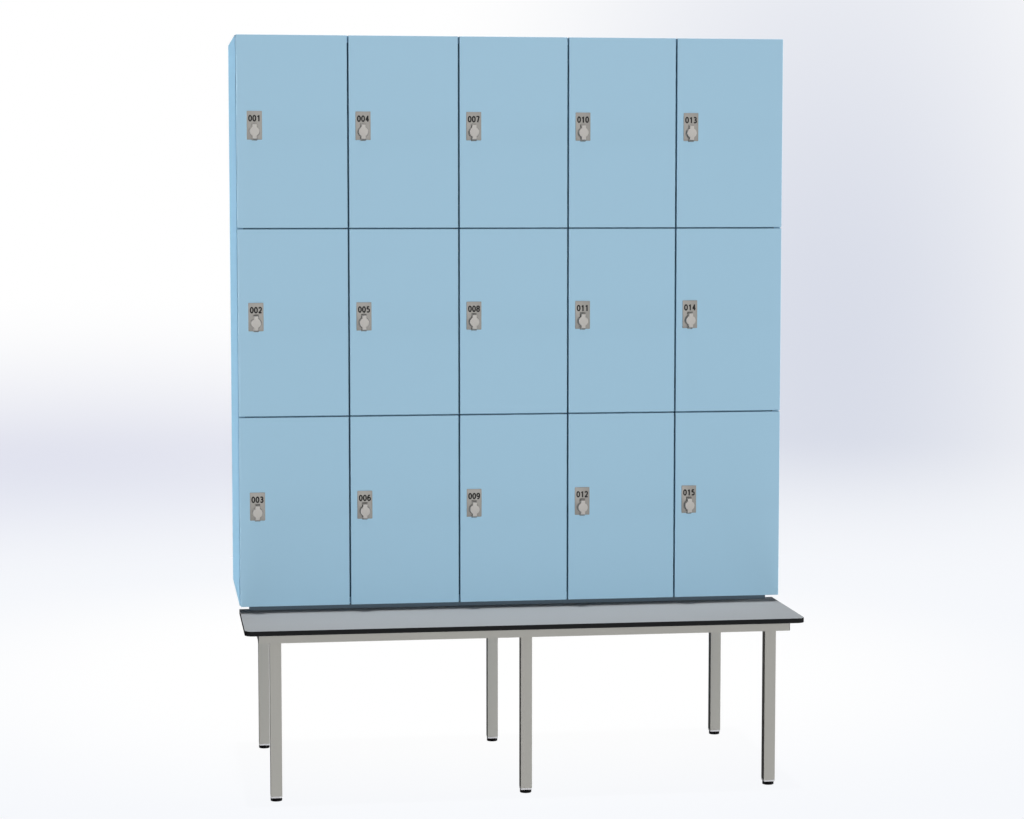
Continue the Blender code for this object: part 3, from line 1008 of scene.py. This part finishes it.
# the studio: a white room lit from its front, lamps, and a pale floor that fades into the white
room = {
    "frontLight": 2.32,  # the light from the room's front, above and below
    "upperShare": 0.38,  # how much of it comes from above eye level
    "eyeLevel": (-0.1, 0.2),  # where the lower light turns into the upper, as a ray's rise
    "sideFalloff": 16.0,  # how fast it falls off towards the left and right
    "turnover": 0.33,  # and how soon behind the object's own plane
    "allRound": 0.015,
    "floorRadius": 12.0,
    "floorSteps": 96,
    "shadowDepth": 0.022,  # how much darker the floor gets where no light falls
    "floorLight": 0.95,  # the light on the open floor
    "fadeFrom": 3.2,
    "fadeTo": 10.5,
    "tintMiddle": (0, 1.5, 0),  # the floor is pure white here, and a little blue further out
    "tintFrom": 0.9,
    "tintTo": 2.5,
    "tint": (246, 248, 252),
}
haze = (  # the backdrop's pale blue ovals: the way to their middles, their half sizes in degrees
    {"azimuth": 15.4, "elevation": -3.9, "width": 10, "height": 20, "colour": (216, 220, 232)},
    {"azimuth": -2.0, "elevation": -8.0, "width": 20, "height": 6, "colour": (205, 208, 228)},
)
suns = {
    "frontSun": {"from": (0.14, -1, 0.08), "softness": 14, "power": 1.42},
    "topSun": {"from": (0, 0, 1), "softness": 2, "power": 2.15},
    "rightSun": {"from": (1, 0.03, 0.12), "softness": 12, "power": 2.9},
    "backSun": {"from": (0, 1, -0.04), "softness": 3, "power": 2.9},
}
sunDistance = 5  # only a sun's direction matters
softboxes = {
    "leftSoftbox": {
        "at": (-1.2, 0.16, 1.275),
        "towards": (0, 0.16, 1.275),
        "size": (0.9, 1.6),
        "spread": 8,
        "power": 4.4,
    },
}


def addLamp(name, data, place, direction):
    light = bpy.data.objects.new(name, data)
    bpy.context.scene.collection.objects.link(light)
    light.location = place
    light.rotation_euler = Vector(direction).to_track_quat("-Z", "Y").to_euler()
    light.visible_camera = False


def makeLamps(sunOptions, boxOptions):
    for name, sun in sunOptions.items():
        data = bpy.data.lights.new(name, "SUN")
        data.angle = math.radians(sun["softness"])
        data.energy = sun["power"]
        addLamp(name, data, sunDistance * Vector(sun["from"]), -Vector(sun["from"]))
    for name, box in boxOptions.items():
        data = bpy.data.lights.new(name, "AREA")
        data.shape = "RECTANGLE"
        data.size, data.size_y = box["size"]
        data.spread = math.radians(box["spread"])
        data.energy = box["power"]
        addLamp(name, data, box["at"], Vector(box["towards"]) - Vector(box["at"]))


def seenRays(tree):
    # 1 for camera, mirror and glass rays, which see the white studio, and 0 for the light
    path = newNode(tree, "ShaderNodeLightPath").outputs
    mirrored = doMath(tree, "MAXIMUM", path["Is Glossy Ray"], path["Is Transmission Ray"])
    return doMath(tree, "MAXIMUM", path["Is Camera Ray"], mirrored)


def addHaze(tree, direction, seen, patch):
    azimuth, elevation = math.radians(patch["azimuth"]), math.radians(patch["elevation"])
    ahead = Vector((math.sin(azimuth), math.cos(azimuth), 0))
    across = Vector((ahead.y, -ahead.x, 0)) / math.sin(math.radians(patch["width"]))
    up = ahead * -math.sin(elevation) + Vector((0, 0, math.cos(elevation)))
    up /= math.sin(math.radians(patch["height"]))
    squares = []
    for axis in (across, up, ahead):
        share = newNode(tree, "ShaderNodeVectorMath", operation="DOT_PRODUCT")
        tree.links.new(direction, share.inputs[0])
        share.inputs[1].default_value = axis
        squares.append(share.outputs["Value"])
    inFront = doMath(tree, "GREATER_THAN", squares.pop(), 0)
    squares = [doMath(tree, "POWER", doMath(tree, "ABSOLUTE", value), 2) for value in squares]
    away = doMath(tree, "SQRT", doMath(tree, "ADD", *squares))
    amount = doMath(tree, "MULTIPLY", spreadValue(tree, away, 1, 0, curve="SMOOTHSTEP"), inFront)
    return blendColours(tree, amount, seen, linear(patch["colour"]))


def makeWorld(options, patches):
    world = bpy.data.worlds.new("studio")
    bpy.context.scene.world = world
    world.use_nodes = True
    tree = world.node_tree
    direction = newNode(tree, "ShaderNodeTexCoord").outputs["Generated"]
    turnover = options["turnover"]
    facing = spreadValue(tree, axisOf(tree, direction, "Y"), 1, 0, -turnover, turnover)
    across = doMath(tree, "POWER", axisOf(tree, direction, "X"), 2)
    falloff = doMath(tree, "POWER", doMath(tree, "SUBTRACT", 1, across), options["sideFalloff"])
    rise = axisOf(tree, direction, "Z")
    height = spreadValue(tree, rise, 1, options["upperShare"], *options["eyeLevel"])
    front = doMath(tree, "MULTIPLY", doMath(tree, "MULTIPLY", facing, falloff), height)
    light = doMath(tree, "MULTIPLY_ADD", front, options["frontLight"], options["allRound"])
    seen = (1.0, 1.0, 1.0)
    for patch in patches:
        seen = addHaze(tree, direction, seen, patch)
    background = tree.nodes["Background"]
    tree.links.new(blendColours(tree, seenRays(tree), light, seen), background.inputs["Color"])
    background.inputs["Strength"].default_value = 1


def makeFloor(options):
    bm = bmesh.new()
    steps, radius = options["floorSteps"], options["floorRadius"]
    bmesh.ops.create_circle(bm, cap_ends=True, segments=steps, radius=radius)
    floor = looseObject("floor", bm)
    material = bpy.data.materials.new("paleFloor")
    material.use_nodes = True
    tree = material.node_tree
    tree.nodes.remove(tree.nodes["Principled BSDF"])
    place = newNode(tree, "ShaderNodeTexCoord").outputs["Object"]
    fromTint = newNode(tree, "ShaderNodeVectorMath", operation="DISTANCE")
    tree.links.new(place, fromTint.inputs[0])
    fromTint.inputs[1].default_value = options["tintMiddle"]
    reach = options["tintFrom"], options["tintTo"]
    amount = spreadValue(tree, fromTint.outputs["Value"], 0, 1, *reach, "SMOOTHSTEP")
    # white, less a share that the light on the floor gives back, so that the shadow shows
    white = newNode(tree, "ShaderNodeEmission")
    tinted = blendColours(tree, amount, (1.0, 1.0, 1.0), linear(options["tint"]))
    tree.links.new(tinted, white.inputs["Color"])
    white.inputs["Strength"].default_value = 1 - options["shadowDepth"]
    paint = newNode(tree, "ShaderNodeBsdfDiffuse")
    share = options["shadowDepth"] / options["floorLight"]
    paint.inputs["Color"].default_value = (*[share] * 3, 1)
    lit = newNode(tree, "ShaderNodeAddShader")
    tree.links.new(white.outputs["Emission"], lit.inputs[0])
    tree.links.new(paint.outputs["BSDF"], lit.inputs[1])
    # the floor lets the room's light through, can't be seen from below, and fades out far away
    clear = newNode(tree, "ShaderNodeBsdfTransparent")
    distance = newNode(tree, "ShaderNodeVectorMath", operation="LENGTH")
    tree.links.new(place, distance.inputs[0])
    fade = options["fadeFrom"], options["fadeTo"]
    near = spreadValue(tree, distance.outputs["Value"], 1, 0, *fade, "SMOOTHSTEP")
    under = newNode(tree, "ShaderNodeNewGeometry").outputs["Backfacing"]
    near = doMath(tree, "MULTIPLY", near, doMath(tree, "SUBTRACT", 1, under))
    mix = newNode(tree, "ShaderNodeMixShader")
    tree.links.new(doMath(tree, "MULTIPLY", near, seenRays(tree)), mix.inputs[0])
    tree.links.new(clear.outputs["BSDF"], mix.inputs[1])
    tree.links.new(lit.outputs["Shader"], mix.inputs[2])
    tree.links.new(mix.outputs["Shader"], tree.nodes["Material Output"].inputs["Surface"])
    floor.data.materials.append(material)


makeLamps(suns, softboxes)
makeWorld(room, haze)
makeFloor(room)
bpy.context.scene.view_settings.view_transform = "Standard"
print("studio made")
